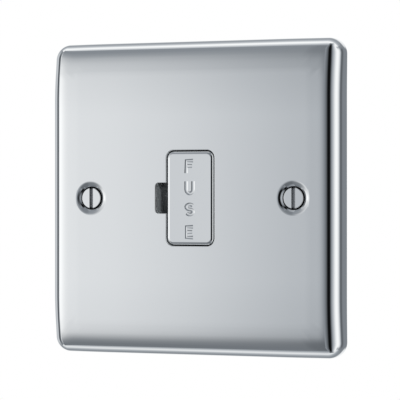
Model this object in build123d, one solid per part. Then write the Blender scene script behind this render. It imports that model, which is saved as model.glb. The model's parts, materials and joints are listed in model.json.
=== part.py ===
import os
from math import sqrt

from build123d import *

# Plate: the pressed front, square to the wall, with its back edge on the wall at y = 0
plate_size = 86.0
plate_depth = 7.5
sheet = 1.0
roll_radius = 4.4
edge_break = 0.25

# Fixing screws: standard wall box centres, slotted countersunk heads
fixing_inset = 12.85
screw_radius = 1.75
neck_radius = 1.5
screw_length = 25.0
head_radius = 2.85
head_recess = 0.2
slot_width = 1.1
slot_depth = 0.9
sink_radius = 3.65
sink_wall = 1.3
sink_taper = 0.2
lip_radius = 1.0
hole_radius = 2.0

# Fuse carrier: chrome cap over a moulded body
carrier_width = 13.7
carrier_margin = 0.05
carrier_corner = 1.9
carrier_edge = 0.9
carrier_gap = 0.35
cap_depth = 4.0
cap_wall = 0.8
body_flange = 1.5
claw_length = 11.4
claw_wall = 2.1
claw_wrap = 1.8

# Lever notch beside the carrier
notch_width = 3.3
notch_height = 8.4
notch_corner = 1.1
notch_depth = 4.6

# Cartridge fuse
fuse_length = 25.4
fuse_radius = 3.175
tube_radius = 3.0
fuse_cap_length = 5.8
fuse_cap_wall = 0.35

# Mouldings behind the plate
lug_gap = 1.5
housing_height = 62.0
housing_corner = 4.0
cover_thickness = 4.0
wall = 1.8
floor_thickness = 3.0
well_wall = 1.5
end_wall = 3.2
tower_draft = 2.0
rear_wall = 2.2
mould_edge = 1.0
rib = 1.2
tie_height = 3.0

# Terminals
terminal_width = 7.5
terminal_height = 8.6
terminal_depth = 9.0
terminal_margin = 4.75
block_edge = 0.3
bore_radius = 2.1
bore_depth = 4.2
clamp_radius = 1.75
clamp_head_radius = 2.6
clamp_head = 1.9
clamp_slot = 0.8
entry_width = 5.4
lead_in = 0.8
access_radius = 3.1

# Strips, clips and links
strip = 0.7
clip_width = 4.5
clip_flare = 0.8
clip_bend = 0.8
link_share = 0.6
tab_width = 4.0

# Assembly screws and studs
stud_radius = 2.3
assembly_radius = 1.4
assembly_head_radius = 2.7
assembly_head = 1.8
boss_wall = 1.5

# Clearances
slide_gap = 0.3
fit_gap = 0.1
pocket_gap = 0.2
thread_gap = 0.05

# Levels along y, from the face at the front to the back of the towers
face_y = -plate_depth
inner_y = face_y + sheet
cover_y = inner_y + cover_thickness
cap_end_y = face_y + cap_depth
carrier_rear_y = cap_end_y + body_flange
ledge_y = carrier_rear_y + slide_gap
fuse_y = ledge_y + fuse_radius
strip_y = fuse_y + fuse_radius + slide_gap + fit_gap
well_end_y = strip_y - slide_gap
floor_y = strip_y + strip
bridge_y = floor_y + floor_thickness
bore_y = floor_y + bore_depth
block_y = floor_y + terminal_depth
tower_y = block_y + slide_gap + rear_wall
notch_y = face_y + notch_depth
stud_end_y = cover_y - slide_gap

# Sizes and places that follow from the driving dimensions
fixing_pitch = plate_size - 2 * fixing_inset
cone_radius = sink_radius - sink_taper
cone_y = face_y + sink_wall
seat_cone = cone_radius - hole_radius
hole_y = cone_y + seat_cone
housing_width = fixing_pitch - 2 * (sink_radius + sheet + lug_gap)
terminal_pitch = (housing_width - terminal_width) / 2 - terminal_margin
terminal_row = (housing_height - terminal_height) / 2 - end_wall
tower_height = terminal_height + 2 * (end_wall + pocket_gap)
carrier_height = fuse_length + 2 * carrier_margin
aperture_width = carrier_width + 2 * carrier_gap
aperture_height = carrier_height + 2 * carrier_gap
aperture_corner = carrier_corner + carrier_gap
well_outer_width = aperture_width + 2 * well_wall
well_outer_height = aperture_height + 2 * well_wall
clip_z = (fuse_length - fuse_cap_length) / 2
tab_z = well_outer_height / 2 + pocket_gap + strip / 2 + fit_gap
ledge_half = tube_radius + claw_wall + pocket_gap + slide_gap
stud_x = housing_width / 2 - stud_radius - boss_wall - 2 * fit_gap
lane = (stud_x - assembly_radius - fit_gap - boss_wall - well_outer_width / 2) / 2
link_width = link_share * lane


def facing(y, x=0.0, z=0.0):
    """Sketch plane at depth y that looks into the room: its x runs right and its y runs up."""
    return Plane(origin=(x, y, z), x_dir=(1, 0, 0), z_dir=(0, -1, 0))


def slab(width, height, radius, y_back, y_front, x=0.0, z=0.0):
    """Rounded plate between two depths."""
    outline = facing(y_back, x, z) * RectangleRounded(width, height, radius)
    return extrude(outline, amount=y_back - y_front)


def block(x0, x1, z0, z1, y_front, y_back):
    """Square-edged block between two depths."""
    middle = Location(((x0 + x1) / 2, (y_front + y_back) / 2, (z0 + z1) / 2))
    return middle * Box(abs(x1 - x0), y_back - y_front, abs(z1 - z0))


def rod(radius, y_back, y_front, x=0.0, z=0.0):
    """Round bar along y between two depths."""
    return extrude(facing(y_back, x, z) * Circle(radius), amount=y_back - y_front)


def upright(radius, z0, z1, x=0.0, y=0.0):
    """Round bar along z between two heights."""
    return extrude(Plane.XY.offset(z0) * Pos(x, y) * Circle(radius), amount=z1 - z0)


def turned(points, x=0.0, z=0.0):
    """Revolve (radius, y) points about the y axis and set the result at x, z."""
    profile = make_face(Polyline(*points, close=True))
    return Pos(x, 0, z) * revolve(profile, Axis.Y)


def rolled_form(inset):
    """Square with rolled front edges and ball corners, offset inwards from the plate's outer skin."""
    half = plate_size / 2 - inset
    form = block(-half, half, -half, half, face_y + inset, 0)
    wall_edges = form.edges().group_by(Axis.Y)[-1]
    return fillet([e for e in form.edges() if e not in wall_edges], roll_radius - inset)


def notch_form(y_back):
    """The lever notch beside the aperture, from the face to a depth, its right end inside the aperture."""
    width = notch_width + 2 * notch_corner
    middle = -(aperture_width - width) / 2 - notch_width
    return slab(width, notch_height, notch_corner, y_back, face_y, middle)


os.makedirs("parts", exist_ok=True)
nodes = {}

# Front plate: pressed shell, sunk screw seats with a rounded lip and a cone, aperture with the lever notch
plate = rolled_form(0.0) - rolled_form(sheet)
for side in (-1, 1):
    sx = side * fixing_pitch / 2
    seat_radius = sink_radius + sheet
    seat = turned([(0, face_y + sheet / 2), (seat_radius, face_y + sheet / 2), (seat_radius, cone_y + sheet),
                   (seat_radius - seat_cone, hole_y + sheet), (0, hole_y + sheet)], sx)
    sink = turned([(0, face_y), (sink_radius, face_y), (cone_radius, cone_y), (hole_radius, hole_y),
                   (hole_radius, hole_y + sheet), (0, hole_y + sheet)], sx)
    plate = plate + seat - sink
front_rings = plate.edges().filter_by(GeomType.CIRCLE).group_by(Axis.Y)[0]
plate = fillet([e for e in front_rings if abs(e.radius - sink_radius) < thread_gap], lip_radius)
plate -= slab(aperture_width, aperture_height, aperture_corner, 0, face_y)
plate -= notch_form(0)
brim = max(plate.faces().filter_by(Axis.Y).group_by(Axis.Y)[0], key=lambda f: f.area)
opening = max(brim.inner_wires(), key=lambda w: w.length)
nodes["front_plate"] = chamfer(opening.edges(), edge_break)

# Studs on the back of the plate, and the screws that pull the mouldings onto them
studs = []
assembly_screws = []
seat_y = bridge_y - assembly_head
for side in (-1, 1):
    sx = side * stud_x
    stud = rod(stud_radius, stud_end_y, inner_y, sx)
    studs.append(stud - rod(assembly_radius + thread_gap, stud_end_y, inner_y, sx))
    screw = rod(assembly_radius, seat_y, inner_y + sheet, sx)
    screw += rod(assembly_head_radius, bridge_y, seat_y, sx)
    drive = block(sx - clamp_slot / 2, sx + clamp_slot / 2, -assembly_head_radius, assembly_head_radius,
                  bridge_y - assembly_head / 2, bridge_y)
    assembly_screws.append(screw - drive)
nodes["plate_studs"] = Compound(studs)
nodes["assembly_screws"] = Compound(assembly_screws)

# Front cover: skin and skirt, well for the carrier, pocket behind the notch, stud bosses, ribs
core_width = housing_width - 2 * wall
core_height = housing_height - 2 * wall
core_corner = housing_corner - wall
cover = slab(housing_width, housing_height, housing_corner, cover_y, inner_y)
cover -= slab(core_width, core_height, core_corner, cover_y, inner_y + wall)
cover += slab(well_outer_width, well_outer_height, aperture_corner + well_wall, well_end_y, inner_y)
pocket_x = -(aperture_width / 2 + notch_width + wall)
pocket_z = notch_height / 2 + wall
cover += block(pocket_x, -aperture_width / 2, -pocket_z, pocket_z, inner_y, notch_y + wall / 2)
for side in (-1, 1):
    cover += rod(stud_radius + fit_gap + boss_wall, cover_y, inner_y, side * stud_x)
    for level in (-1, 1):
        rib_z = level * (well_outer_height / 2 - well_wall - rib)
        inside = side * (well_outer_width / 2 - well_wall / 2)
        outside = side * (housing_width / 2 - wall / 2)
        cover += block(inside, outside, rib_z - rib / 2, rib_z + rib / 2, inner_y, cover_y)
cover -= slab(aperture_width, aperture_height, aperture_corner, ledge_y, inner_y)
cover -= block(-ledge_half, ledge_half, -aperture_height / 2, aperture_height / 2, ledge_y, well_end_y)
cover -= notch_form(notch_y)
for side in (-1, 1):
    cover -= rod(stud_radius + fit_gap, cover_y, inner_y, side * stud_x)
slot_x = tab_width / 2 + pocket_gap
slot_z = strip / 2 + pocket_gap
cover -= block(-slot_x, slot_x, tab_z - slot_z, tab_z + slot_z, inner_y, cover_y)
cover -= block(-slot_x, slot_x, tab_z, terminal_row + pocket_gap, inner_y, inner_y + strip + fit_gap)
nodes["front_cover"] = cover

# Base moulding: bridge with two drafted terminal towers, tie ribs and the chamber behind the cover
base = slab(housing_width, housing_height, housing_corner, bridge_y, cover_y)
for row in (-1, 1):
    tower_z = row * (housing_height - tower_height) / 2
    foot = Plane(origin=(0, bridge_y, tower_z), x_dir=(1, 0, 0), z_dir=(0, 1, 0))
    tower = extrude(foot * RectangleRounded(housing_width, tower_height, housing_corner),
                    amount=tower_y - bridge_y, taper=tower_draft)
    base += chamfer(tower.faces().sort_by(Axis.Y)[-1].edges(), mould_edge)
tie = housing_height / 2 - tower_height + rib
for rib_x in (-terminal_pitch / 2, terminal_pitch / 2):
    base += block(rib_x - rib / 2, rib_x + rib / 2, -tie, tie, bridge_y - rib, bridge_y + tie_height)
base -= slab(core_width, core_height, core_corner, floor_y, cover_y)

# Bosses for the assembly screws
for side in (-1, 1):
    sx = side * stud_x
    base += rod(assembly_radius + fit_gap + boss_wall, bridge_y, cover_y, sx)
    base -= rod(assembly_radius + fit_gap, bridge_y, cover_y, sx)
    base -= rod(assembly_head_radius + pocket_gap, bridge_y, seat_y, sx)

# Terminal pockets with screwdriver holes and funnelled wire entries, and cores between the pockets
pocket_w = terminal_width / 2 + pocket_gap
pocket_h = terminal_height / 2 + pocket_gap
pocket_y = block_y + slide_gap
funnel = entry_width + 2 * lead_in
core_w = (terminal_pitch - terminal_width) / 2 - pocket_gap - rib
core_h = tower_height / 2 - wall - rib
for row in (-1, 1):
    tz = row * terminal_row
    tower_z = row * (housing_height - tower_height) / 2
    for tx in (-terminal_pitch, 0, terminal_pitch):
        base -= block(tx - pocket_w, tx + pocket_w, tz - pocket_h, tz + pocket_h, floor_y, pocket_y)
        base -= rod(access_radius, tower_y, block_y, tx, tz)
        mouth = Plane(origin=(tx, bore_y, row * housing_height / 2), x_dir=(1, 0, 0), z_dir=(0, 0, -row))
        base -= extrude(mouth * Rectangle(entry_width, entry_width), amount=housing_height / 2 - terminal_row)
        base -= extrude(mouth * Rectangle(funnel, funnel), amount=lead_in, taper=45)
    for tx in (-terminal_pitch / 2, terminal_pitch / 2):
        base -= block(tx - core_w, tx + core_w, tower_z - core_h, tower_z + core_h, bridge_y, tower_y)
nodes["base_moulding"] = base

# Terminals: drilled and tapped brass blocks, all alike, with their clamp screws
half_w = terminal_width / 2
half_h = terminal_height / 2
blank = block(-half_w, half_w, -half_h, half_h, floor_y, block_y)
blank = chamfer(blank.edges(), block_edge)
blank -= upright(bore_radius, -half_h, half_h, 0, bore_y)
blank -= rod(clamp_radius + thread_gap, block_y, bore_y)
tip_y = bore_y + bore_radius + slide_gap
head_y = block_y + slide_gap + fit_gap
clamp = rod(clamp_radius, head_y, tip_y) + rod(clamp_head_radius, head_y + clamp_head, head_y)
clamp -= block(-clamp_slot / 2, clamp_slot / 2, -clamp_head_radius, clamp_head_radius,
               head_y + clamp_head / 2, head_y + clamp_head)
columns = {"neutral": -terminal_pitch, "earth": 0.0, "line": terminal_pitch}
rows = {"load": terminal_row, "supply": -terminal_row}
clamps = []
for pole, tx in columns.items():
    for duty, tz in rows.items():
        nodes[f"{pole}_{duty}_terminal"] = Pos(tx, 0, tz) * blank
        clamps.append(Pos(tx, 0, tz) * clamp)
nodes["terminal_screws"] = Compound(clamps)

# Fuse clips: bent strip profile, then the flat tail to the line terminal
mid_y = strip_y + strip / 2
leaf_x = fuse_radius + fit_gap + strip / 2
flare_y = fuse_y - fuse_radius / 2
leaf_y = ledge_y + fit_gap
leaf = FilletPolyline((-leaf_x - clip_flare, leaf_y), (-leaf_x, flare_y), (-leaf_x, mid_y),
                      (leaf_x, mid_y), (leaf_x, flare_y), (leaf_x + clip_flare, leaf_y), radius=clip_bend)
spring = extrude(trace(leaf, line_width=strip), amount=clip_width / 2, both=True)
run = terminal_row - clip_z
tail = Pos(terminal_pitch / 2, clip_z) * Rectangle(terminal_pitch, clip_width)
tail += Pos(terminal_pitch, clip_z + run / 2) * Rectangle(clip_width, run + clip_width)
tail = fillet(tail.vertices().sort_by(Axis.X)[2:], strip)
load_clip = Pos(0, 0, clip_z) * spring + extrude(facing(floor_y) * tail, amount=strip)
nodes["fuse_clip_load"] = load_clip
nodes["fuse_clip_supply"] = mirror(load_clip, Plane.XY)

# Neutral and earth links: flat strips on the floor, joined to the front of their blocks
reach = terminal_row + terminal_height / 4
bar = Pos(-well_outer_width / 2 - 1.5 * lane, 0) * Rectangle(link_width, 2 * reach)
nodes["neutral_link"] = extrude(facing(floor_y) * fillet(bar.vertices(), link_width / 4), amount=strip)
rail_x = -well_outer_width / 2 - lane / 2
rail_z = tab_z + link_width / 2
stem = reach - rail_z + link_width / 2
rail = Pos(rail_x, 0) * Rectangle(link_width, 2 * rail_z + link_width)
for row in (-1, 1):
    rail += Pos(rail_x / 2, row * rail_z) * Rectangle(-rail_x, link_width)
    rail += Pos(0, row * (reach - stem / 2)) * Rectangle(tab_width, stem)
nodes["earth_link"] = extrude(facing(floor_y) * rail, amount=strip)

# Earth tab: bent strip from the earth link through the cover to the back of the plate
near_y = strip_y - strip / 2
far_y = inner_y + strip / 2
bend = FilletPolyline((near_y, terminal_row), (near_y, tab_z), (far_y, tab_z), (far_y, terminal_row),
                      radius=clip_bend)
side_plane = Plane(origin=(0, 0, 0), x_dir=(0, 1, 0), z_dir=(1, 0, 0))
nodes["earth_tab"] = extrude(side_plane * trace(bend, line_width=strip), amount=tab_width / 2, both=True)

# Carrier: chrome cap with rounded front edges, body with flange, lever gap, cores and claws
cap = slab(carrier_width, carrier_height, carrier_corner, cap_end_y, face_y)
cap = fillet(cap.faces().sort_by(Axis.Y)[0].edges(), carrier_edge)
cap -= slab(carrier_width - 2 * cap_wall, carrier_height - 2 * cap_wall, carrier_corner - cap_wall,
            cap_end_y, face_y + cap_wall)
nodes["carrier_cap"] = cap
plug_inset = 2 * (cap_wall + thread_gap)
body = slab(carrier_width - plug_inset, carrier_height - plug_inset, carrier_corner - cap_wall,
            carrier_rear_y, face_y + cap_wall)
body += slab(carrier_width - fit_gap, carrier_height - fit_gap, carrier_corner, carrier_rear_y, cap_end_y)
lever_x = carrier_width / 2 - cap_wall - fit_gap
lever_z = notch_height / 2 - fit_gap
body -= block(-carrier_width / 2, -lever_x, -lever_z, lever_z, cap_end_y, carrier_rear_y)
claw_x = tube_radius + fit_gap + claw_wall
claw_z = claw_length / 2
claw_y = fuse_y + claw_wrap
claw = block(-claw_x, claw_x, -claw_z, claw_z, carrier_rear_y, claw_y)
claw = fillet(claw.edges().filter_by(Axis.Z).sort_by(Axis.Y)[-2:], claw_wall / 2)
claw -= upright(tube_radius + fit_gap, -claw_z, claw_z, 0, fuse_y)
throat = sqrt(tube_radius ** 2 - (claw_wrap - fit_gap) ** 2)
claw -= block(-throat, throat, -claw_z, claw_z, fuse_y, claw_y)
body += claw
for end in (-1, 1):
    near = end * (claw_z + rib)
    far = end * (carrier_height / 2 - cap_wall - 2 * rib)
    body -= block(rib - claw_x, claw_x - rib, near, far, face_y + cap_wall + rib, carrier_rear_y)
nodes["carrier_body"] = body

# Cartridge fuse: ceramic tube in two metal end caps
tube_half = fuse_length / 2 - fuse_cap_wall
nodes["fuse_body"] = upright(tube_radius, -tube_half, tube_half, 0, fuse_y)
ends = []
for end in (-1, 1):
    tip = Plane(origin=(0, fuse_y, end * fuse_length / 2), x_dir=(1, 0, 0), z_dir=(0, 0, -end))
    shell = extrude(tip * Circle(fuse_radius), amount=fuse_cap_length)
    crown = shell.edges().sort_by(Axis.Z)[-1 if end > 0 else 0]
    shell = chamfer(crown, fuse_cap_wall)
    ends.append(shell - extrude(tip.offset(fuse_cap_wall) * Circle(tube_radius), amount=fuse_cap_length))
nodes["fuse_end_caps"] = Compound(ends)

# Fixing screws: seated cone, plain neck through the plate, full thread diameter behind the wall line
top_y = face_y + head_recess
land_y = cone_y + cone_radius - head_radius
end_y = top_y + screw_length
screws = []
for side in (-1, 1):
    sx = side * fixing_pitch / 2
    screw = turned([(0, top_y), (head_radius, top_y), (head_radius, land_y),
                    (neck_radius, land_y + head_radius - neck_radius), (neck_radius, 0), (screw_radius, 0),
                    (screw_radius, end_y), (0, end_y)], sx)
    screws.append(screw - block(sx - slot_width / 2, sx + slot_width / 2, -head_radius, head_radius,
                                top_y, top_y + slot_depth))
nodes["fixing_screws"] = Compound(screws)

for name, shape in nodes.items():
    export_step(shape, f"parts/{name}.step")
    print(name, len(shape.solids()), round(shape.volume, 1))
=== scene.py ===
# %% [markdown]
# # A fused connection unit in polished chrome
# The real thing is a square pressed plate on a wall box. A fuse carrier slides out of its middle, and two
# slotted screws hold it. The solids come ready made in the frame. This lesson gives them their finishes,
# makes the mirror-bright pieces again with finer curves, and lights them as a product photograph is lit.

# %% Load the frame
import json
from math import copysign, cos, pi, radians, sin

import bmesh
import bpy
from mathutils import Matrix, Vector


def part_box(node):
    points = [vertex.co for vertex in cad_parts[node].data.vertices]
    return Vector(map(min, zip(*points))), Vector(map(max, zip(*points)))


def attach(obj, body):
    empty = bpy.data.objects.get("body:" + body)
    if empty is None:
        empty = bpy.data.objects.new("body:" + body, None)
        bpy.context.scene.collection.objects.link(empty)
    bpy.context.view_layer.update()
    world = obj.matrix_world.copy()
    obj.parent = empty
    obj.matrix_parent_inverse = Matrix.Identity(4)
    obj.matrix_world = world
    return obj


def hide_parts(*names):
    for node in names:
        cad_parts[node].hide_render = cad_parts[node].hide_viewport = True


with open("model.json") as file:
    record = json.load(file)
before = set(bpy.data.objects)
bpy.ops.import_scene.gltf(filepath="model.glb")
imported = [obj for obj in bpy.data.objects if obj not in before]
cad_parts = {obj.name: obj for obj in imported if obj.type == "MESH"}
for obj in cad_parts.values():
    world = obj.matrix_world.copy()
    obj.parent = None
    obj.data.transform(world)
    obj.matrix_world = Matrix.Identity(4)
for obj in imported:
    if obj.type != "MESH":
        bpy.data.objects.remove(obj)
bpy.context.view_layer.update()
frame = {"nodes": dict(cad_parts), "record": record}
nodes = frame["nodes"]
scene = bpy.context.scene
MM = 0.001
face_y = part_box("front_plate")[0].y / MM
print("nodes", len(nodes), "face at", round(face_y, 2), "mm")

# %% [markdown]
# ## Camera
# The photograph looks at the plate from a little to its right, level with its middle, through a long lens.
# The yaw, the distance and the lens come from how much the plate's upright sides differ in length.
# The plate's middle sits a little left of the picture's middle, which the lens shift takes up.

# %% Camera
view_yaw = radians(24.1)
view_distance = 0.648
focal_pixels = 2378
picture_pixels = 400
plate_pixel_x = 190.0
plate_pixel_y = 198.1

lens = bpy.data.cameras.new("camera")
lens.lens = focal_pixels / picture_pixels * lens.sensor_width
lens.shift_x = 0.5 - plate_pixel_x / picture_pixels
lens.shift_y = plate_pixel_y / picture_pixels - 0.5
camera = bpy.data.objects.new("camera", lens)
camera.location = Vector((sin(view_yaw), -cos(view_yaw), 0)) * view_distance + Vector((0, face_y * MM, 0))
camera.rotation_euler = (pi / 2, 0, view_yaw)
scene.collection.objects.link(camera)
scene.camera = camera
scene.view_settings.view_transform = "Standard"
print("lens", round(lens.lens, 1), "mm")

# %% [markdown]
# ## Two small helpers
# Colours are written as the sRGB hex values that a picture program shows, and shaders want linear values.
# A node is always added in the same way: its kind, what goes into its sockets, and its settings.


# %% Colour and node helpers
def linear(hex_colour):
    """Linear RGBA of an sRGB hex colour."""
    channels = [int(hex_colour[i:i + 2], 16) / 255 for i in (1, 3, 5)]
    return (*[c / 12.92 if c <= 0.04045 else ((c + 0.055) / 1.055) ** 2.4 for c in channels], 1.0)


def put(tree, kind, inputs=None, stops=None, **settings):
    """Add a node. Inputs are values or sockets to link from, and stops are a ramp's places and colours."""
    node = tree.nodes.new(kind)
    for name, value in settings.items():
        setattr(node, name, value)
    for key, value in (inputs or {}).items():
        if isinstance(value, bpy.types.NodeSocket):
            tree.links.new(value, node.inputs[key])
        else:
            node.inputs[key].default_value = value
    for index, (place, colour) in enumerate(stops or ()):
        ramp = node.color_ramp.elements
        stop = ramp[index] if index < len(ramp) else ramp.new(place)
        stop.position = place
        stop.color = colour
    return node


print("chrome white is", [round(c, 3) for c in linear("#F3F5F6")])

# %% [markdown]
# ## Room: white world, pale floor, soft lamps
# What the camera, mirrors and glass see of the world is plain white. Matt surfaces get a weaker, even light
# from it, so that soft lamps can shape them. The floor lies well below the plate, which hangs on a wall, and
# fades to the white of the world at its rim. Floor and lamps stay out of the mirrors.

# %% World
ambient_level = 0.2

world = bpy.data.worlds.new("white_room")
world.use_nodes = True
tree = world.node_tree
tree.nodes.clear()
path = put(tree, "ShaderNodeLightPath")
seen = put(tree, "ShaderNodeMath", {0: path.outputs["Is Camera Ray"], 1: path.outputs["Is Glossy Ray"]},
           operation="ADD")
seen = put(tree, "ShaderNodeMath", {0: seen.outputs[0], 1: path.outputs["Is Transmission Ray"]},
           operation="ADD", use_clamp=True)
even = put(tree, "ShaderNodeBackground", {"Color": linear("#FFFFFF"), "Strength": ambient_level})
white = put(tree, "ShaderNodeBackground", {"Color": linear("#FFFFFF"), "Strength": 1.0})
both = put(tree, "ShaderNodeMixShader", {0: seen.outputs[0], 1: even.outputs[0], 2: white.outputs[0]})
put(tree, "ShaderNodeOutputWorld", {"Surface": both.outputs[0]})
scene.world = world
print("world", world.name)


# %% Floor
def link_mesh(shape, name):
    """Turn a bmesh into a linked object and free it."""
    mesh = bpy.data.meshes.new(name)
    shape.to_mesh(mesh)
    shape.free()
    obj = bpy.data.objects.new(name, mesh)
    scene.collection.objects.link(obj)
    return obj


floor_level = -0.3
floor_radius = 1.2

disc = bmesh.new()
bmesh.ops.create_circle(disc, cap_ends=True, segments=96, radius=floor_radius)
bmesh.ops.translate(disc, verts=disc.verts, vec=(0, 0, floor_level))
floor = link_mesh(disc, "floor")
paint = bpy.data.materials.new("matt_white_floor_paint")
paint.use_nodes = True
tree = paint.node_tree
tree.nodes.clear()
spot = put(tree, "ShaderNodeTexCoord")
away = put(tree, "ShaderNodeVectorMath", {0: spot.outputs["Object"]}, operation="LENGTH")
fade = put(tree, "ShaderNodeMapRange", {0: away.outputs["Value"], 1: floor_radius / 2, 2: floor_radius})
matt = put(tree, "ShaderNodeBsdfDiffuse", {"Color": linear("#F4F4F2")})
glow = put(tree, "ShaderNodeEmission", {"Color": linear("#FFFFFF")})
both = put(tree, "ShaderNodeMixShader", {0: fade.outputs[0], 1: matt.outputs[0], 2: glow.outputs[0]})
put(tree, "ShaderNodeOutputMaterial", {"Surface": both.outputs[0]})
floor.data.materials.append(paint)
floor.visible_glossy = False
print("floor at", floor_level, "m")


# %% Lamps
def toward(azimuth, elevation):
    """Direction by degrees around from the plate's front, to its right, and degrees up."""
    a, e = radians(azimuth), radians(elevation)
    return Vector((sin(a) * cos(e), -cos(a) * cos(e), sin(e)))


# Each lamp has its azimuth, elevation, watts and size in metres
lamp_plan = {
    "key_right": (45, 14, 13.0, 0.3),
    "fill_top": (-20, 65, 4.0, 0.7),
    "rear_left": (-150, 35, 11.0, 0.7),
    "rear_right": (140, 15, 8.0, 0.7),
}
lamp_distance = 1.1

for name, (azimuth, elevation, watts, size) in lamp_plan.items():
    light = bpy.data.lights.new(name, "AREA")
    light.size = size
    light.energy = watts
    lamp = bpy.data.objects.new(name, light)
    lamp.location = toward(azimuth, elevation) * lamp_distance
    lamp.rotation_euler = lamp.location.to_track_quat("Z", "Y").to_euler()
    lamp.visible_glossy = False
    scene.collection.objects.link(lamp)
print("lamps", list(lamp_plan))

# %% [markdown]
# ## Studio cards
# Chrome has no look of its own: it shows the studio. A mirror plate is shot inside a white tent, with dark
# and grey cards that draw its edges. Each card here is a patch of a large sphere round the plate. Its tone
# runs around the plate by angle, and turns to another tone above and below. Cards show in mirrors alone.

# %% Card shape
card_step = 3.0


def patch(name, around, over, radius):
    """Part of a sphere, from the first to the last angle around it and over it, in degrees."""
    left, right = around[0][0], around[-1][0]
    low, high = over[0][0], over[-1][0]
    columns = max(2, round((right - left) / card_step))
    rows = max(2, round((high - low) / card_step))
    turns = [left + (right - left) * j / columns for j in range(columns + 1)]
    shape = bmesh.new()
    grid = []
    for i in range(rows + 1):
        rise = low + (high - low) * i / rows
        grid.append([shape.verts.new(toward(turn, rise) * radius) for turn in turns])
    for near, far in zip(grid, grid[1:]):
        for j in range(columns):
            shape.faces.new((near[j], near[j + 1], far[j + 1], far[j]))
    return link_mesh(shape, name)


print("card squares are", card_step, "degrees wide")

# %% [markdown]
# ## Card paper
# A ramp gives the paper's tone by the angle around the plate, and a second one says how much of it turns
# to the tone above or below. Where the paper is dark, that tone is a little darker too and comes sooner,
# as on a card that curves away from its lamp.

# %% Card paper
dark_paper = 0.45
light_paper = 0.82
lit_level = 1.05
shade_range = 0.8
shade_red = 0.075
shade_blue = 0.095


def tone(level):
    """Grey of a lit card, cool in the shade and neutral in the light."""
    cool = min(1, max(0, (lit_level - level) / shade_range)) ** 1.5
    return ((1 - shade_red * cool) * level, level, (1 + shade_blue * cool) * level, 1.0)


def paper(name, around, over, above, below, radius):
    """Glowing paper: around gives (angle, level), over gives (elevation, share of above or below)."""
    left, right = around[0][0], around[-1][0]
    low, high = over[0][0], over[-1][0]
    made = bpy.data.materials.new(name + "_paper")
    made.use_nodes = True
    tree = made.node_tree
    tree.nodes.clear()
    spot = put(tree, "ShaderNodeTexCoord")
    way = put(tree, "ShaderNodeSeparateXYZ", {0: spot.outputs["Object"]})
    ahead = put(tree, "ShaderNodeMath", {0: way.outputs["Y"], 1: -1.0}, operation="MULTIPLY")
    turn = put(tree, "ShaderNodeMath", {0: way.outputs["X"], 1: ahead.outputs[0]}, operation="ARCTAN2")
    turn = put(tree, "ShaderNodeMapRange", {0: turn.outputs[0], 1: radians(left), 2: radians(right)})
    level = put(tree, "ShaderNodeValToRGB", {0: turn.outputs[0]},
                [((a - left) / (right - left), tone(v)) for a, v in around])
    rise = put(tree, "ShaderNodeMath", {0: way.outputs["Z"], 1: radius}, operation="DIVIDE")
    rise = put(tree, "ShaderNodeMath", {0: rise.outputs[0]}, operation="ARCSINE")
    climb = put(tree, "ShaderNodeMapRange", {0: rise.outputs[0], 1: radians(low), 2: radians(high)})
    share = put(tree, "ShaderNodeValToRGB", {0: climb.outputs[0]},
                [((e - low) / (high - low), (v, v, v, 1.0)) for e, v in over])
    upper = put(tree, "ShaderNodeMath", {0: rise.outputs[0], 1: 0.0}, operation="GREATER_THAN")
    edge = put(tree, "ShaderNodeMix", {0: upper.outputs[0], 6: tone(below), 7: tone(above)},
               data_type="RGBA")
    fall = put(tree, "ShaderNodeMapRange",
               {0: level.outputs[0], 1: dark_paper, 2: light_paper, 3: 0.8, 4: 1.03})
    edge = put(tree, "ShaderNodeVectorMath", {0: edge.outputs[2], "Scale": fall.outputs[0]},
               operation="SCALE")
    early = put(tree, "ShaderNodeMapRange",
                {0: level.outputs[0], 1: dark_paper, 2: light_paper, 3: 1.0, 4: 0.0})
    rest = put(tree, "ShaderNodeMath", {0: 1.0, 1: share.outputs[0]}, operation="SUBTRACT")
    between = put(tree, "ShaderNodeMath", {0: share.outputs[0], 1: rest.outputs[0]}, operation="MULTIPLY")
    share = put(tree, "ShaderNodeMath", {0: between.outputs[0], 1: early.outputs[0], 2: share.outputs[0]},
                operation="MULTIPLY_ADD")
    mixed = put(tree, "ShaderNodeMix", {0: share.outputs[0], 6: level.outputs[0], 7: edge.outputs[0]},
                data_type="RGBA")
    glow = put(tree, "ShaderNodeEmission", {"Color": mixed.outputs[2]})
    put(tree, "ShaderNodeOutputMaterial", {"Surface": glow.outputs[0]})
    return made


print("mid grey paper is", [round(c, 3) for c in tone(0.5)])


# %% Hang the cards
def card(name, heading, around, over, above, below, radius=2.0, lying=False):
    """Card that mirrors alone see, turned to a heading, or lying on its side over or under the plate."""
    obj = patch(name, around, over, radius)
    obj.rotation_euler = (0, -pi / 2 if lying else 0, radians(heading))
    obj.data.materials.append(paper(name, around, over, above, below, radius))
    obj.visible_camera = False
    obj.visible_diffuse = False
    obj.visible_shadow = False


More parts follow.
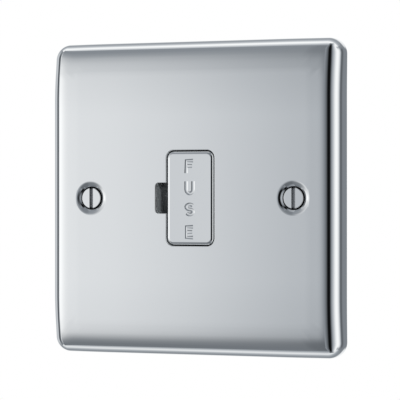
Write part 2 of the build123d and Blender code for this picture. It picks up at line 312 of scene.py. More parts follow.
card("front_hood", 0,
     [(-65, 1.06), (-61, 1.09), (-56, 1.06), (-52, 1.01), (-48, 0.956), (-44, 0.9), (-40, 0.857),
      (-36, 0.832), (-28.6, 0.82), (-26.4, 0.778), (-24.2, 0.7), (-22.2, 0.607), (-20.8, 0.546),
      (-19.6, 0.514), (-18.2, 0.5), (-12, 0.497), (-8, 0.47), (-4, 0.4), (0, 0.308)],
     [(-48, 1.0), (-36.7, 1.0), (-28.8, 0.93), (-24.8, 0.85), (-20.8, 0.7), (-16.7, 0.5), (-12.7, 0.29),
      (-8.6, 0.18), (-5.4, 0.12), (-2.6, 0.0), (2.6, 0.0), (5.4, 0.27), (8.6, 0.32), (12.7, 0.41),
      (16.7, 0.54), (20.8, 0.65), (24.8, 0.8), (28.8, 0.9), (36.7, 1.0), (48, 1.0)],
     above=0.27, below=0.19)
card("right_flag", 0,
     [(0, 0.308), (4.3, 0.205), (8.3, 0.105), (11.5, 0.006), (19, 0.006), (21, 0.03), (24.3, 0.155),
      (28.3, 0.31), (32, 0.42), (36, 0.515), (42, 0.69), (48, 0.875), (54, 0.985), (62, 1.04)],
     [(-66, 0.8), (-58, 0.3), (-48, 0.0), (48, 0.0), (58, 0.3), (66, 0.8)],
     above=0.27, below=0.19)
card("back_card", 180,
     [(-118, 1.04), (-112, 1.02), (-104.5, 0.925), (-96.5, 0.79), (-88.7, 0.63), (-81, 0.36), (-73, 0.2),
      (-65, 0.12), (-57, 0.12), (-49.5, 0.16), (-41.5, 0.2), (-31.5, 0.24), (-17, 0.24), (-10, 0.85),
      (0, 1.0), (35, 0.9), (60, 0.55), (73, 0.53), (79, 0.57), (85, 0.63), (91, 0.69), (96, 0.5),
      (99, 0.15), (104, 0.1), (109.5, 0.12), (112, 0.5), (115, 1.06)],
     [(-40, 1.0), (-30, 0.5), (-20, 0.0), (20, 0.0), (30, 0.5), (40, 1.0)],
     above=0.36, below=0.3)
card("roof", 0,
     [(40, 0.27), (44.7, 0.28), (48.6, 0.32), (52.6, 0.4), (56.5, 0.53), (60.4, 0.68), (66.3, 0.9),
      (71, 1.05), (76, 1.05), (80, 0.95), (84, 0.77), (92, 0.58), (100, 0.48), (108, 0.41), (116, 0.36),
      (150, 0.36)],
     [(-75, 0.0), (75, 0.0)], above=0.0, below=0.0, radius=2.1, lying=True)
card("ground", 0,
     [(-150, 0.28), (-116, 0.28), (-108, 0.33), (-100, 0.38), (-92, 0.46), (-84, 0.6), (-80, 0.75),
      (-76, 0.84), (-71, 0.84), (-66.3, 0.73), (-60.4, 0.52), (-56.5, 0.4), (-52.6, 0.3), (-48.6, 0.24),
      (-44.7, 0.205), (-40, 0.19)],
     [(-75, 0.0), (75, 0.0)], above=0.0, below=0.0, radius=2.1, lying=True)

# %% [markdown]
# ## Chrome
# The plate is pressed steel, polished and plated with bright nickel under a thin layer of chromium. The
# eye gets a nearly perfect mirror with a cool white. Long, faint waves are left by the press, and handling
# leaves a haze that shows only as a slight change of gloss.


# %% Chrome plate finish
def finish(name, base, metallic, roughness):
    """New material with a principled shader, its nodes and its object coordinates."""
    made = bpy.data.materials.new(name)
    made.use_nodes = True
    tree = made.node_tree
    shader = tree.nodes["Principled BSDF"]
    shader.inputs["Base Color"].default_value = linear(base)
    shader.inputs["Metallic"].default_value = metallic
    shader.inputs["Roughness"].default_value = roughness
    return made, tree, shader, put(tree, "ShaderNodeTexCoord").outputs["Object"]


def per_mm(size):
    """Noise scale whose features are about this many millimetres across."""
    return 1 / (size * MM)


chrome, tree, shader, place = finish("polished_chrome_plate", "#F3F5F6", 1.0, 0.03)
haze = put(tree, "ShaderNodeTexNoise", {"Vector": place, "Scale": per_mm(14.0), "Detail": 4.0})
gloss = put(tree, "ShaderNodeMapRange", {0: haze.outputs[0], 1: 0.35, 2: 0.75, 3: 0.01, 4: 0.03})
waves = put(tree, "ShaderNodeTexNoise", {"Vector": place, "Scale": per_mm(22.0), "Detail": 1.0})
press = put(tree, "ShaderNodeBump", {"Height": waves.outputs[0], "Distance": 0.004 * MM, "Strength": 1.0})
tree.links.new(press.outputs[0], shader.inputs["Normal"])
print("finish", chrome.name)

# %% [markdown]
# ## Dull places and painted shade in the chrome
# The bath and the mop hardly reach into the screw seats and slots, so the metal stays dull there.
# Its colour is darkened there, partly as duller bare metal and partly as painted shade, which is
# darkest in the gap beside each head. The punched walls round the carrier are dull as well. Each of
# these places is a mask, worked out from how far a spot is from a screw's axis or from the plate's
# middle, and how deep it lies behind the face.

# %% Dull places and painted shade
fixing_pitch = 60.3
seat_from, seat_full = 3.3, 3.2
sunk_from, sunk_full = face_y + 0.22, face_y + 0.3
slot_edge, head_side = 2.5, 2.7
punch_from, punch_full = 16.0, 15.0
deep_from, deep_full = face_y + 0.3, face_y + 0.55
seat_dullness = 0.55
most_dull = 0.65

way = put(tree, "ShaderNodeSeparateXYZ", {0: place})
depth = way.outputs["Y"]
aside = put(tree, "ShaderNodeMath", {0: way.outputs["X"]}, operation="ABSOLUTE")
over = put(tree, "ShaderNodeMath", {0: way.outputs["Z"]}, operation="ABSOLUTE")
middle = put(tree, "ShaderNodeMath", {0: aside.outputs[0], 1: over.outputs[0]}, operation="MAXIMUM")
punched = put(tree, "ShaderNodeMapRange", {0: middle.outputs[0], 1: punch_from * MM, 2: punch_full * MM})
deep = put(tree, "ShaderNodeMapRange", {0: depth, 1: deep_from * MM, 2: deep_full * MM})
cut = put(tree, "ShaderNodeMath", {0: punched.outputs[0], 1: deep.outputs[0]}, operation="MULTIPLY")

aside = put(tree, "ShaderNodeMath", {0: aside.outputs[0], 1: fixing_pitch / 2 * MM}, operation="SUBTRACT")
around = put(tree, "ShaderNodeCombineXYZ", {"X": aside.outputs[0], "Z": way.outputs["Z"]})
away = put(tree, "ShaderNodeVectorMath", {0: around.outputs[0]}, operation="LENGTH")
inside = put(tree, "ShaderNodeMapRange", {0: away.outputs["Value"], 1: seat_from * MM, 2: seat_full * MM})
sunk = put(tree, "ShaderNodeMapRange", {0: depth, 1: sunk_from * MM, 2: sunk_full * MM})
hollow = put(tree, "ShaderNodeMath", {0: inside.outputs[0], 1: sunk.outputs[0]}, operation="MULTIPLY")
worn = put(tree, "ShaderNodeMath", {0: hollow.outputs[0], 1: seat_dullness}, operation="MULTIPLY")

# Painted shade in the seats: the colour greys in the screw slots and goes dark in the gap beside each head
beside = put(tree, "ShaderNodeMapRange", {0: away.outputs["Value"], 1: slot_edge * MM, 2: head_side * MM})
bare_metal_and_painted_shade = put(tree, "ShaderNodeValToRGB", {0: beside.outputs[0]},
           [(0.0, linear("#BCBEC0")), (1.0, linear("#6C6E70"))])
tint = put(tree, "ShaderNodeMix", {0: hollow.outputs[0], 6: linear("#F3F5F6"), 7: bare_metal_and_painted_shade.outputs[0]},
           data_type="RGBA")
tree.links.new(tint.outputs[2], shader.inputs["Base Color"])
matt = put(tree, "ShaderNodeMath", {0: worn.outputs[0], 1: cut.outputs[0]}, operation="MAXIMUM")
dull = put(tree, "ShaderNodeMath", {0: matt.outputs[0], 1: most_dull, 2: gloss.outputs[0]},
           operation="MULTIPLY_ADD")
tree.links.new(dull.outputs[0], shader.inputs["Roughness"])
print("nodes in", chrome.name, len(tree.nodes))

# %% [markdown]
# ## Moulding
# The mouldings are a dark grey heat-resistant plastic. Spark-eroded moulds leave a fine even grain, which
# makes the surface look matt and soft at the edges of a highlight. The real grain is finer than the picture
# can show, so it is drawn coarser.

# %% Moulded plastic finish
moulding, tree, shader, place = finish("moulded_grey_urea", "#5C6062", 0.0, 0.45)
shader.inputs["IOR"].default_value = 1.55
grain = put(tree, "ShaderNodeTexNoise", {"Vector": place, "Scale": per_mm(0.35), "Detail": 3.0})
dents = put(tree, "ShaderNodeBump", {"Height": grain.outputs[0], "Distance": 0.02 * MM, "Strength": 0.6})
tree.links.new(dents.outputs[0], shader.inputs["Normal"])
cloud = put(tree, "ShaderNodeTexNoise", {"Vector": place, "Scale": per_mm(9.0), "Detail": 4.0})
flow = put(tree, "ShaderNodeValToRGB", {0: cloud.outputs[0]},
           [(0.3, linear("#585C5E")), (0.7, linear("#616567"))])
tree.links.new(flow.outputs[0], shader.inputs["Base Color"])
sheen = put(tree, "ShaderNodeMapRange", {0: grain.outputs[0], 1: 0.3, 2: 0.7, 3: 0.38, 4: 0.55})
tree.links.new(sheen.outputs[0], shader.inputs["Roughness"])
print("finish", moulding.name)

# %% [markdown]
# ## Brass, steel, nickel and ceramic
# Terminals are cut from drawn brass bar, so fine lines run along the bar, drawn a little coarser here to
# show. Small screws are zinc plated, with a soft grey bloom. The fuse has bright nickel end caps on a
# glazed ceramic tube, whose glaze is smooth and carries faint specks.

# %% Brass and zinc finishes
brass, tree, shader, place = finish("drawn_brass", "#D9B25F", 1.0, 0.28)
along = put(tree, "ShaderNodeMapping", {0: place, "Scale": (1.0, 1.0, 0.04)})
lines = put(tree, "ShaderNodeTexNoise", {"Vector": along.outputs[0], "Scale": per_mm(0.3), "Detail": 3.0})
drawn = put(tree, "ShaderNodeMapRange", {0: lines.outputs[0], 1: 0.3, 2: 0.7, 3: 0.2, 4: 0.38})
tree.links.new(drawn.outputs[0], shader.inputs["Roughness"])
score = put(tree, "ShaderNodeBump", {"Height": lines.outputs[0], "Distance": 0.01 * MM, "Strength": 0.5})
tree.links.new(score.outputs[0], shader.inputs["Normal"])
tarnish = put(tree, "ShaderNodeTexNoise", {"Vector": place, "Scale": per_mm(4.0), "Detail": 4.0})
tint = put(tree, "ShaderNodeValToRGB", {0: tarnish.outputs[0]},
           [(0.35, linear("#C79C4A")), (0.65, linear("#DDB866"))])
tree.links.new(tint.outputs[0], shader.inputs["Base Color"])

zinc, tree, shader, place = finish("zinc_plated_steel", "#C3C6C8", 1.0, 0.32)
bloom = put(tree, "ShaderNodeTexNoise", {"Vector": place, "Scale": per_mm(0.8), "Detail": 5.0})
tint = put(tree, "ShaderNodeValToRGB", {0: bloom.outputs[0]},
           [(0.35, linear("#B2B5B6")), (0.65, linear("#CDD0D3"))])
tree.links.new(tint.outputs[0], shader.inputs["Base Color"])
dull = put(tree, "ShaderNodeMapRange", {0: bloom.outputs[0], 1: 0.3, 2: 0.7, 3: 0.24, 4: 0.42})
tree.links.new(dull.outputs[0], shader.inputs["Roughness"])
print("finishes", brass.name, zinc.name)

# %% Nickel and ceramic finishes
nickel, tree, shader, place = finish("bright_nickel_plate", "#D8D2C6", 1.0, 0.14)
swirl = put(tree, "ShaderNodeTexNoise", {"Vector": place, "Scale": per_mm(1.5), "Detail": 4.0})
rub = put(tree, "ShaderNodeMapRange", {0: swirl.outputs[0], 1: 0.3, 2: 0.7, 3: 0.1, 4: 0.24})
tree.links.new(rub.outputs[0], shader.inputs["Roughness"])

ceramic, tree, shader, place = finish("glazed_ceramic", "#EDE8DC", 0.0, 0.22)
shader.inputs["IOR"].default_value = 1.5
shader.inputs["Coat Weight"].default_value = 0.5
speck = put(tree, "ShaderNodeTexNoise", {"Vector": place, "Scale": per_mm(0.6), "Detail": 5.0})
tint = put(tree, "ShaderNodeValToRGB", {0: speck.outputs[0]},
           [(0.28, linear("#D9D2C2")), (0.5, linear("#EFEADF"))])
tree.links.new(tint.outputs[0], shader.inputs["Base Color"])
print("finishes", nickel.name, ceramic.name)

# %% [markdown]
# ## Dress the solids
# The frame's record says for each solid which material slot it has. One finish belongs to each slot, so a
# loop dresses all of them, and the pieces that are made again below take their finish from the same table.

# %% Dress the frame
finishes = {"chrome": chrome, "moulding": moulding, "brass": brass, "zinc_steel": zinc, "nickel": nickel,
            "ceramic": ceramic}
slots = {part["node"]: part["material_slot"] for part in frame["record"]["subparts"]}
for node, slot in slots.items():
    mesh = nodes[node].data
    mesh.materials.clear()
    mesh.materials.append(finishes[slot])
print("dressed", len(slots), "nodes in", len(finishes), "finishes")

# %% [markdown]
# ## Shapes from rings
# A pressed or turned piece is a row of closed outlines, one behind the other. A skin between neighbouring
# outlines and a face on each end make it a closed solid, with as many rings round a bend as a mirror needs.

# %% Outlines
corner_steps = 16
turn_steps = 96


def rounded(half_width, half_height, radius, y, x=0.0, side_steps=1):
    """Outline of a rounded rectangle at depth y, in millimetres."""
    points = []
    for sx, sz, start in ((1, 1, 0), (-1, 1, 90), (-1, -1, 180), (1, -1, 270)):
        for i in range(corner_steps + 1):
            a = radians(start + 90 * i / corner_steps)
            points.append(Vector((x + sx * (half_width - radius) + radius * cos(a), y,
                                  sz * (half_height - radius) + radius * sin(a))))
    corner = corner_steps + 1
    ring = []
    for i in range(4):
        ring += points[i * corner:(i + 1) * corner]
        near, far = ring[-1], points[(i + 1) * corner % len(points)]
        ring += [near.lerp(far, k / side_steps) for k in range(1, side_steps)]
    return ring


def circle(radius, y, x=0.0):
    """Outline of a circle at depth y, in millimetres."""
    turns = [2 * pi * i / turn_steps for i in range(turn_steps)]
    return [(x + radius * cos(a), y, radius * sin(a)) for a in turns]


print("points on a circle", turn_steps, "and on a rounded corner", corner_steps + 1)

# %% Skins and cuts
merge_gap = 0.0002


def skin(rings, name):
    """Closed solid through rings of equal count, in metres."""
    shape = bmesh.new()
    rows = [[shape.verts.new(Vector(p) * MM) for p in ring] for ring in rings]
    for near, far in zip(rows, rows[1:]):
        for i in range(len(near)):
            j = (i + 1) % len(near)
            shape.faces.new((near[i], near[j], far[j], far[i]))
    shape.faces.new(rows[0])
    shape.faces.new(rows[-1])
    bmesh.ops.remove_doubles(shape, verts=shape.verts, dist=merge_gap * MM)
    bmesh.ops.dissolve_degenerate(shape, edges=shape.edges, dist=merge_gap * MM)
    bmesh.ops.recalc_face_normals(shape, faces=shape.faces)
    return link_mesh(shape, name)


def settle(obj):
    """Apply an object's modifiers and leave a plain mesh."""
    depsgraph = bpy.context.evaluated_depsgraph_get()
    mesh = bpy.data.meshes.new_from_object(obj.evaluated_get(depsgraph))
    obj.modifiers.clear()
    obj.data = mesh


def combine(target, tool, operation):
    """Cut a tool from a solid or join it on, then drop the tool."""
    modifier = target.modifiers.new("combine", "BOOLEAN")
    modifier.operation = operation
    modifier.solver = "EXACT"
    modifier.use_self = True
    modifier.object = tool
    settle(target)
    bpy.data.objects.remove(tool)


print("points closer than", merge_gap, "mm are merged")

# %% [markdown]
# ## Soft edges
# Pressed and polished metal has no sharp edge. Each edge here is a chain of small arcs and flats, given by
# their slopes, because a mirror shows the slope of an edge more than its size.

# %% Edges from arcs and flats
arc_cuts = 14


def edge_path(pieces):
    """Points (across, deep) along arcs (radius, slope, end slope) and flats (length, slope)."""
    path = [(0.0, 0.0)]
    for size, *slopes in pieces:
        across, deep = path[-1]
        start, end = radians(slopes[0]), radians(slopes[-1])
        if len(slopes) == 1:
            path.append((across + size * cos(start), deep + size * sin(start)))
            continue
        for i in range(arc_cuts):
            a = start + (end - start) * (i + 1) / arc_cuts
            path.append((across + size * (sin(a) - sin(start)), deep + size * (cos(start) - cos(a))))
    return path


print("points on a quarter round", len(edge_path([(1.0, 0, 90)])))

# %% [markdown]
# ## Front plate
# The real plate is drawn from one sheet: a flat face, an edge rolled through a quarter turn with ball
# corners, and a short skirt whose foot is rounded where it meets the wall. Its outer and inner skins are one
# row of rings. The roll is a superellipse, which leaves the flat more gently than an arc does.

# %% Plate skin
plate_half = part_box("front_plate")[1].x / MM
sheet = 1.0
roll_width = 9.5
roll_depth = 4.7
roll_power = 3.0
wall_corner = 4.4
corner_growth = -1.2
least_corner = 0.6
wall_edge = 0.8
roll_steps = 32
skirt_steps = 6
plate_side_steps = 28


def plate_ring(inset, lost, y):
    """Rounded square, inset from the plate's outline."""
    size = plate_half - inset - lost
    corner = max(wall_corner - inset + corner_growth * lost, least_corner)
    return rounded(size, size, corner, y, side_steps=plate_side_steps)


def plate_rings(inset):
    """Rings from the flat face over the soft roll and down the skirt, for a skin at some inset."""
    width, depth = roll_width - inset, roll_depth - inset
    rings = []
    for i in range(roll_steps + 1):
        a = radians(90 * i / roll_steps)
        rings.append(plate_ring(inset, width * (1 - sin(a) ** (2 / roll_power)),
                                face_y + inset + depth * (1 - cos(a) ** (2 / roll_power))))
    skirt_top = face_y + roll_depth
    for i in range(1, skirt_steps):
        rings.append(plate_ring(inset, 0, skirt_top - (skirt_top + wall_edge) * i / skirt_steps))
    return rings


foot = [plate_ring(inset, 0, up - wall_edge) for up, inset in edge_path([(wall_edge, 0, 90)])]
foot.append(plate_ring(sheet, 0, 0))
plate = skin(plate_rings(0) + foot + plate_rings(sheet)[::-1], "chrome_plate")
print("plate skin", len(plate.data.polygons), "faces")

# %% [markdown]
# ## Screw seats
# The press sinks the sheet round each fixing screw. The face dishes softly, steepens into a funnel and
# ends at a throat that the head nearly fills, with a cone below for the screw to pull on. A cup of sheet is
# joined on behind, and one turned cutter with the lip's chain of arcs and flats opens the seat.

# %% Screw seats
sink_radius = 3.65
sink_wall = 1.3
sink_taper = 0.2
hole_radius = 2.0
throat_radius = 3.13
dish_slope = 19.2
funnel_slope = 27
overcut = 0.5

cone_radius = sink_radius - sink_taper
cone_y = face_y + sink_wall
hole_y = cone_y + cone_radius - hole_radius
seat_radius = sink_radius + sheet
throat_y = cone_y + cone_radius - throat_radius
lip = edge_path([(2.0, 0, dish_slope), (0.5, dish_slope), (0.15, dish_slope, funnel_slope),
                 (0.57, funnel_slope), (0.12, funnel_slope, 90)])
lip_start = throat_radius + lip[-1][0]
for side in (-1, 1):
    x = side * fixing_pitch / 2
    seat = skin([circle(seat_radius, face_y + sheet / 2, x), circle(seat_radius, cone_y + sheet, x),
                 circle(seat_radius - cone_radius + hole_radius, hole_y + sheet, x)], "seat")
    combine(plate, seat, "UNION")
    rings = [circle(lip_start, face_y - overcut, x)]
    rings += [circle(lip_start - across, face_y + deep, x) for across, deep in lip]
    rings.append(circle(throat_radius, throat_y, x))
    rings.append(circle(hole_radius, hole_y, x))
    rings.append(circle(hole_radius, hole_y + sheet + overcut, x))
    combine(plate, skin(rings, "sink"), "DIFFERENCE")
print("plate with seats", len(plate.data.polygons), "faces, lip", round(lip[-1][0], 2), "mm wide")

# %% [markdown]
# ## Carrier opening and lever notch
# The opening for the carrier and the notch for a screwdriver beside it are punched through the sheet, and
# the polish takes the burr off their edges. Each cutter is a rounded block that flares over this small
# round.

# %% Carrier opening and lever notch
carrier_gap = 0.35
carrier_corner = 1.9
opening_edge = 0.2
notch_edge = 0.15
notch_width = 3.3
notch_height = 8.4
notch_corner = 1.1

cap_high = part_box("carrier_cap")[1] / MM
opening_width = 2 * (cap_high.x + carrier_gap)
opening_height = 2 * (cap_high.z + carrier_gap)
opening_corner = carrier_corner + carrier_gap
notch_reach = notch_width + 2 * notch_corner
notch_x = -(opening_width - notch_reach) / 2 - notch_width


def punch(width, height, radius, x, edge, name):
    """Cut a rounded block through the sheet that flares over the broken edge at the face."""
    flare = [(edge, -overcut), *[(edge - across, deep) for across, deep in edge_path([(edge, 0, 90)])]]
    block = skin([rounded(width / 2 + grow, height / 2 + grow, radius + grow, face_y + deep, x)
                  for grow, deep in [*flare, (0, sheet + overcut)]], name)
    combine(plate, block, "DIFFERENCE")


punch(opening_width, opening_height, opening_corner, 0, opening_edge, "opening")
punch(notch_reach, notch_height, notch_corner, notch_x, notch_edge, "notch")
print("plate with openings", len(plate.data.polygons), "faces")

# %% [markdown]
# ## Polish
# A mirror shows every error of its normals. Bends are shaded smooth with large faces leading, true edges
# stay sharp, and the normals of a flat front are set straight out by hand. They may also lean sideways,
# and turn a little across the front, which makes a face that is hollow by less than a hair.

# %% Polish the plate
flat_angle = radians(0.05)
front_angle = radians(10)


def polish(obj, material, sharp_angle=34, lean=0.0, hollow=0.0):
    """Set normals and finish. A flat front leans by lean degrees, less hollow for each millimetre of x."""
    obj.data.shade_smooth()
    obj.data.set_sharp_from_angle(angle=radians(sharp_angle))
    normals = obj.modifiers.new("normals", "WEIGHTED_NORMAL")
    normals.keep_sharp = True
    settle(obj)
    mesh = obj.data
    out = Vector((0, -1, 0))
    turned = [corner.vector.copy() for corner in mesh.corner_normals]
    flat = {v for face in mesh.polygons if face.normal.angle(out) < flat_angle for v in face.vertices}
    for face in mesh.polygons:
        if face.normal.angle(out) < front_angle:
            for i in face.loop_indices:
                spot = mesh.loops[i].vertex_index
                if spot in flat:
                    side = radians(lean - hollow * mesh.vertices[spot].co.x / MM)
                    turned[i] = Vector((sin(side), -cos(side), 0))
    mesh.normals_split_custom_set(turned)
    mesh.materials.clear()
    mesh.materials.append(material)


polish(plate, chrome)
print("sharp edges on the plate", sum(edge.use_edge_sharp for edge in plate.data.edges))

# %% [markdown]
# ## Sunk corners
# At its corners the drawn sheet runs a little towards the wall. The rim is moved there along an easy curve.
# The normals are set as if the rolls of both sides were added, so that reflections run on to the corner
# without a kink.

# %% Sunk corners
corner_drop = 1.1
drop_start = 27.0
blend_from, blend_to = 0.6, 1.4
steepest_share = 0.98
roll_start = plate_half - roll_width


def ease(value, start, end):
    """Smooth step from 0 at start to 1 at end."""
    share = min(max((value - start) / (end - start), 0), 1)
    return share * share * (3 - 2 * share)


def roll_slope(place):
    """Slope of the roll along one axis, at a place on that axis."""
    u = min(max((abs(place) - roll_start) / roll_width, 0), steepest_share)
    steep = u ** (roll_power - 1) * (1 - u ** roll_power) ** (1 / roll_power - 1)
    return copysign(roll_depth / roll_width * steep, place)


def sink_corners(obj):
    """Move the rim towards the wall at the corners, with normals that add both rolls there."""
    mesh = obj.data
    kept = [corner.vector.copy() for corner in mesh.corner_normals]
    for loop in mesh.loops:
        x, y, z = mesh.vertices[loop.vertex_index].co / MM
        if min(abs(x), abs(z)) > roll_start and kept[loop.index].y < 0:
            added = Vector((roll_slope(x), -1, roll_slope(z))).normalized()
            share = 1 - ease(y - face_y, blend_from, blend_to)
            kept[loop.index] = kept[loop.index].lerp(added, share).normalized()
    for vertex in mesh.vertices:
        x, y, z = (abs(v) / MM for v in vertex.co)
        beside = ease(x, roll_start, plate_half) * ease(z, drop_start, plate_half)
        across = ease(z, roll_start, plate_half) * ease(x, drop_start, plate_half)
        share = (beside + across - beside * across) * min(1, y / abs(face_y + roll_depth))
        vertex.co.y += corner_drop * share * MM
    mesh.normals_split_custom_set(kept)


sink_corners(plate)
print("corners sunk by", corner_drop, "mm")


# %% The plate takes its place
def stand_for(obj, node, body):
    """The piece takes a CAD node's place on its body."""
    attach(obj, body)
    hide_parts(node)
    print(obj.name, "replaces", node, "with", len(obj.data.polygons), "faces")


stand_for(plate, "front_plate", "unit")

# %% [markdown]
# ## Fuse carrier cap
# The carrier's face is a small chrome cap, pressed with a narrow bevel that turns softly into its sides. The
# cap is a shell: rings run over the bevel, down the side, and back up the inside.

# %% Cap skin
bevel_slope = 19
turn_slope = 36
cap_wall = 0.8

cap_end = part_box("carrier_cap")[1].y / MM
cap_edge = edge_path([(0.8, 0, bevel_slope), (0.33, bevel_slope), (0.12, bevel_slope, turn_slope),
                      (0.1, turn_slope), (0.36, turn_slope, 90)])
edge_width = cap_edge[-1][0]
rings = [rounded(cap_high.x - edge_width + across, cap_high.z - edge_width + across,
                 carrier_corner - edge_width + across, face_y + deep) for across, deep in cap_edge]
rings.append(rounded(cap_high.x, cap_high.z, carrier_corner, cap_end))
for y in (cap_end, face_y + cap_wall):
    rings.append(rounded(cap_high.x - cap_wall, cap_high.z - cap_wall, carrier_corner - cap_wall, y))
cap = skin(rings, "chrome_carrier_cap")
print("cap skin", len(cap.data.polygons), "faces, edge", round(edge_width, 2), "mm wide")

# %% [markdown]
# ## Engraved word
# The word that says what sits behind the cap is engraved by a round cutter, so each stroke is a shallow
# groove. The strokes are plain lines and arcs in shares of a letter's box. Geometry Nodes sweep a circle
# along them, because the tubes then follow any stroke, and the cap loses what the tubes reach.

# %% Strokes of the word
letter_width = 2.05
letter_height = 3.25
letter_pitch = 5.99
word_x = -0.12
word_top = 10.31
groove_half = 0.52
groove_slope = radians(22)
arc_steps = 10


def arc(cx, cz, rx, rz, start, end):
    """Points along part of an ellipse, in shares of the letter's box."""
    turns = [radians(start + (end - start) * i / arc_steps) for i in range(arc_steps + 1)]
    return [(cx + rx * cos(a), cz + rz * sin(a)) for a in turns]


letters = [
    [[(1, 0.97), (0, 0.97), (0, -0.08)], [(0, 0.52), (0.85, 0.52)]],
    [[(0, 1.08), *arc(0.5, 0.4, 0.5, 0.34, 180, 360), (1, 1.08)]],
    [[*arc(0.5, 0.77, 0.5, 0.21, 30, 270), *arc(0.5, 0.35, 0.5, 0.21, 90, -150)[1:]]],
    [[(1, 0.95), (0, 0.95), (0, 0.05), (1, 0.05)], [(0, 0.52), (0.88, 0.52)]],
]
groove_radius = groove_half / sin(groove_slope)
cutter_y = face_y - groove_radius * cos(groove_slope)
strokes = bpy.data.curves.new("strokes", "CURVE")
strokes.dimensions = "3D"
for index, letter in enumerate(letters):
    base_z = word_top - letter_height - index * letter_pitch
    for stroke in letter:
        spline = strokes.splines.new("POLY")
        spline.points.add(len(stroke) - 1)
        for point, (u, v) in zip(spline.points, stroke):
            spot = Vector((word_x + (u - 0.5) * letter_width, cutter_y, base_z + v * letter_height))
            point.co = (*spot * MM, 1)
engraver = bpy.data.objects.new("engraver", strokes)
scene.collection.objects.link(engraver)
groove_depth = groove_radius * (1 - cos(groove_slope))
print("strokes", len(strokes.splines), "groove depth", round(groove_depth, 3), "mm")


# %% Groove tree
def node_tree(name, sizes):
    """Empty Geometry Nodes tree with a geometry input and named size inputs."""
    tree = bpy.data.node_groups.new(name, "GeometryNodeTree")
    tree.interface.new_socket("Geometry", in_out="INPUT", socket_type="NodeSocketGeometry")
    for size, kind in sizes.items():
        tree.interface.new_socket(size, in_out="INPUT", socket_type=kind)
    tree.interface.new_socket("Geometry", in_out="OUTPUT", socket_type="NodeSocketGeometry")
    return tree, put(tree, "NodeGroupInput").outputs


tree, given = node_tree("round_grooves", {"Radius": "NodeSocketFloat", "Finish": "NodeSocketMaterial"})
bit = put(tree, "GeometryNodeCurvePrimitiveCircle", {"Resolution": 96, "Radius": given["Radius"]})
swept = put(tree, "GeometryNodeCurveToMesh", {
    "Curve": given["Geometry"], "Profile Curve": bit.outputs["Curve"], "Fill Caps": True})
solid = put(tree, "GeometryNodeRealizeInstances", {0: swept.outputs[0]})
painted = put(tree, "GeometryNodeSetMaterial", {0: solid.outputs[0], "Material": given["Finish"]})
put(tree, "NodeGroupOutput", {0: painted.outputs[0]})
print("tree", tree.name, len(tree.nodes), "nodes")


# %% Engrave the cap
def grow(obj, tree, values):
    """Give an object a tree with its inputs set by identifier, and bake the result to a plain mesh."""
    modifier = obj.modifiers.new(tree.name, "NODES")
    modifier.node_group = tree
    for item in tree.interface.items_tree:
        if item.in_out == "INPUT" and item.name in values:
            modifier[item.identifier] = values[item.name]
    depsgraph = bpy.context.evaluated_depsgraph_get()
    mesh = bpy.data.meshes.new_from_object(obj.evaluated_get(depsgraph))
    made = bpy.data.objects.new(tree.name, mesh)
    scene.collection.objects.link(made)
    bpy.data.objects.remove(obj)
    return made


cap_sharp = 14
cap_lean = 0.3
cap_hollow = 0.06

grooves = grow(engraver, tree, {"Radius": groove_radius * MM, "Finish": chrome})
combine(cap, grooves, "DIFFERENCE")
polish(cap, chrome, cap_sharp, cap_lean, cap_hollow)
stand_for(cap, "carrier_cap", "carrier")

# %% [markdown]
# ## Screws
# A screw is turned from bar: a head with a broken rim, a milled slot and a shank whose thread is rolled
# last. One blank is skinned through circles for each kind. Those that fix the plate face the front, and
# those of the terminals and of the base face the wall.


# %% Turned blanks
def blank_screw(profile, slot, name):
    """Turned solid through (radius, y) points, with an upright slot (width, y0, y1) milled across it."""
    blank = skin([circle(r, y) for r, y in profile], name)
    width, near, far = slot
    reach = max(r for r, y in profile) + overcut
    outline = [(width / 2, reach), (-width / 2, reach), (-width / 2, -reach), (width / 2, -reach)]
    combine(blank, skin([[(x, y, z) for x, z in outline] for y in (near, far)], "slot"), "DIFFERENCE")
    return blank


def rim(radius, y, broken, inwards):
    """Quarter round at a head's rim: the points run from the flat to the side, inwards along y."""
    return [(radius - broken + across, y + inwards * deep) for across, deep in edge_path([(broken, 0, 90)])]


tip_length = 0.4
head_rim = 0.15
neck_radius = 1.5
neck_end = -0.3
core_radius = 1.42
slot_width = 1.1
slot_depth = 0.9

head_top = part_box("fixing_screws")[0].y / MM
screw_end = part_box("fixing_screws")[1].y / MM
head_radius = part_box("fixing_screws")[1].z / MM
head_land = cone_y + cone_radius - head_radius
fixing = blank_screw(
    [*rim(head_radius, head_top, head_rim, 1), (head_radius, head_land),
     (neck_radius, head_land + head_radius - neck_radius), (neck_radius, neck_end), (core_radius, 0),
     (core_radius, screw_end - tip_length), (core_radius - tip_length, screw_end)],
    (slot_width, head_top - overcut, head_top + slot_depth), "fixing_blank")
print("fixing blank", len(fixing.data.polygons), "faces")

# %% Blanks that face the wall
rear_slot_width = 0.8
clamp_head = 2.6
clamp_head_height = 1.9
draw_head = 2.7
draw_head_height = 1.8


def rear_blank(ends, tip, core, head, height, broken, slot_deep, name):
    """Blank between two ends: radii of tip, core and head, then the head's height, broken rim and slot."""
    low, high = ends
    profile = [(tip, low), (core, low + tip_length), (core, high - height), (head, high - height),
               *rim(head, high, broken, -1)[::-1]]
    return blank_screw(profile, (rear_slot_width, high - slot_deep, high + overcut), name)


clamp_ends = [corner.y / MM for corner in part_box("terminal_screws")]
draw_ends = [corner.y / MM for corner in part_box("assembly_screws")]
clamp = rear_blank(clamp_ends, tip=1.0, core=1.45, head=clamp_head, height=clamp_head_height,
                   broken=0.35, slot_deep=0.95, name="clamp_blank")
draw = rear_blank(draw_ends, tip=0.8, core=1.12, head=draw_head, height=draw_head_height,
                  broken=0.4, slot_deep=0.9, name="draw_blank")
print("rear blanks", [(o.name, len(o.data.polygons)) for o in (clamp, draw)])

# %% [markdown]
# ## Threads
# A rolled thread is a ridge that winds round the shank. Geometry Nodes sweep a square on its corner along a
# spiral, join it to the blank and set a copy at each place, so one tree with named sizes makes every screw.

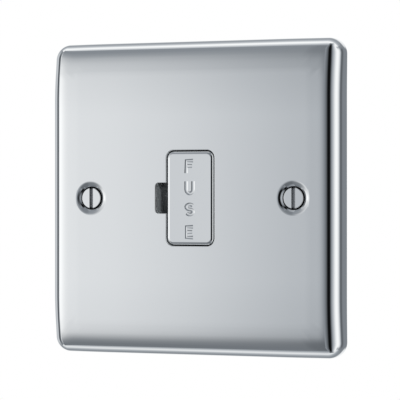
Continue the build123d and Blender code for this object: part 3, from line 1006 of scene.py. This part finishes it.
# %% Thread tree
tree, given = node_tree("threaded_screws", {
    "Screw": "NodeSocketObject", "Radius": "NodeSocketFloat", "Depth": "NodeSocketFloat",
    "Pitch": "NodeSocketFloat", "Start": "NodeSocketFloat", "Length": "NodeSocketFloat",
    "Finish": "NodeSocketMaterial"})
turns = put(tree, "ShaderNodeMath", {0: given["Length"], 1: given["Pitch"]}, operation="DIVIDE")
middle = put(tree, "ShaderNodeMath", {0: given["Radius"], 1: given["Depth"]}, operation="SUBTRACT")
helix = put(tree, "GeometryNodeCurveSpiral", {
    "Resolution": 36, "Rotations": turns.outputs[0], "Start Radius": middle.outputs[0],
    "End Radius": middle.outputs[0], "Height": given["Length"]})
flank = put(tree, "GeometryNodeCurvePrimitiveCircle", {"Resolution": 4, "Radius": given["Depth"]})
level = put(tree, "GeometryNodeSetCurveNormal", {0: helix.outputs[0]}, mode="Z_UP")
wound = put(tree, "GeometryNodeCurveToMesh", {
    "Curve": level.outputs[0], "Profile Curve": flank.outputs["Curve"], "Fill Caps": True})
start = put(tree, "ShaderNodeCombineXYZ", {"Y": given["Start"]})
laid = put(tree, "GeometryNodeTransform", {
    0: wound.outputs[0], "Translation": start.outputs[0], "Rotation": (-pi / 2, 0, 0)})
blank = put(tree, "GeometryNodeObjectInfo", {"Object": given["Screw"]})
whole = put(tree, "GeometryNodeJoinGeometry", {0: laid.outputs[0]})
tree.links.new(blank.outputs["Geometry"], whole.inputs[0])
placed = put(tree, "GeometryNodeInstanceOnPoints", {
    "Points": given["Geometry"], "Instance": whole.outputs[0]})
solid = put(tree, "GeometryNodeRealizeInstances", {0: placed.outputs[0]})
painted = put(tree, "GeometryNodeSetMaterial", {0: solid.outputs[0], "Material": given["Finish"]})
put(tree, "NodeGroupOutput", {0: painted.outputs[0]})
print("tree", tree.name, len(tree.nodes), "nodes")


# %% Screws in their places
def set_screws(blank, places, thread, node, name):
    """Bake copies of a blank with its thread, sized in millimetres, at (x, z) places."""
    slot = slots[node]
    shape = bmesh.new()
    for x, z in places:
        shape.verts.new(Vector((x, 0, z)) * MM)
    values = {size: value * MM for size, value in thread.items()}
    made = grow(link_mesh(shape, "places"), tree, {"Screw": blank, "Finish": finishes[slot], **values})
    made.name = name
    bpy.data.objects.remove(blank)
    polish(made, finishes[slot])
    stand_for(made, node, "unit")


half_pitch = fixing_pitch / 2
clamp_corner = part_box("terminal_screws")[1] / MM
column, row = clamp_corner.x - clamp_head, clamp_corner.z - clamp_head
draw_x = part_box("assembly_screws")[1].x / MM - draw_head
thread_start = 0.5
thread_stop = 0.4
fixing_thread_start = 0.4
fixing_thread_length = screw_end - 1.0
clamp_thread_length = clamp_ends[1] - clamp_ends[0] - clamp_head_height - thread_start - thread_stop
draw_thread_length = draw_ends[1] - draw_ends[0] - draw_head_height - thread_start - thread_stop
set_screws(fixing, [(-half_pitch, 0), (half_pitch, 0)],
           {"Radius": 1.75, "Depth": 0.33, "Pitch": 0.6, "Start": fixing_thread_start,
            "Length": fixing_thread_length},
           "fixing_screws", "slotted_fixing_screws")
set_screws(clamp, [(x, z) for x in (-column, 0, column) for z in (-row, row)],
           {"Radius": 1.75, "Depth": 0.3, "Pitch": 0.6, "Start": clamp_ends[0] + thread_start,
            "Length": clamp_thread_length},
           "terminal_screws", "terminal_clamp_screws")
set_screws(draw, [(-draw_x, 0), (draw_x, 0)],
           {"Radius": 1.4, "Depth": 0.28, "Pitch": 0.5, "Start": draw_ends[0] + thread_start,
            "Length": draw_thread_length},
           "assembly_screws", "assembly_draw_screws")
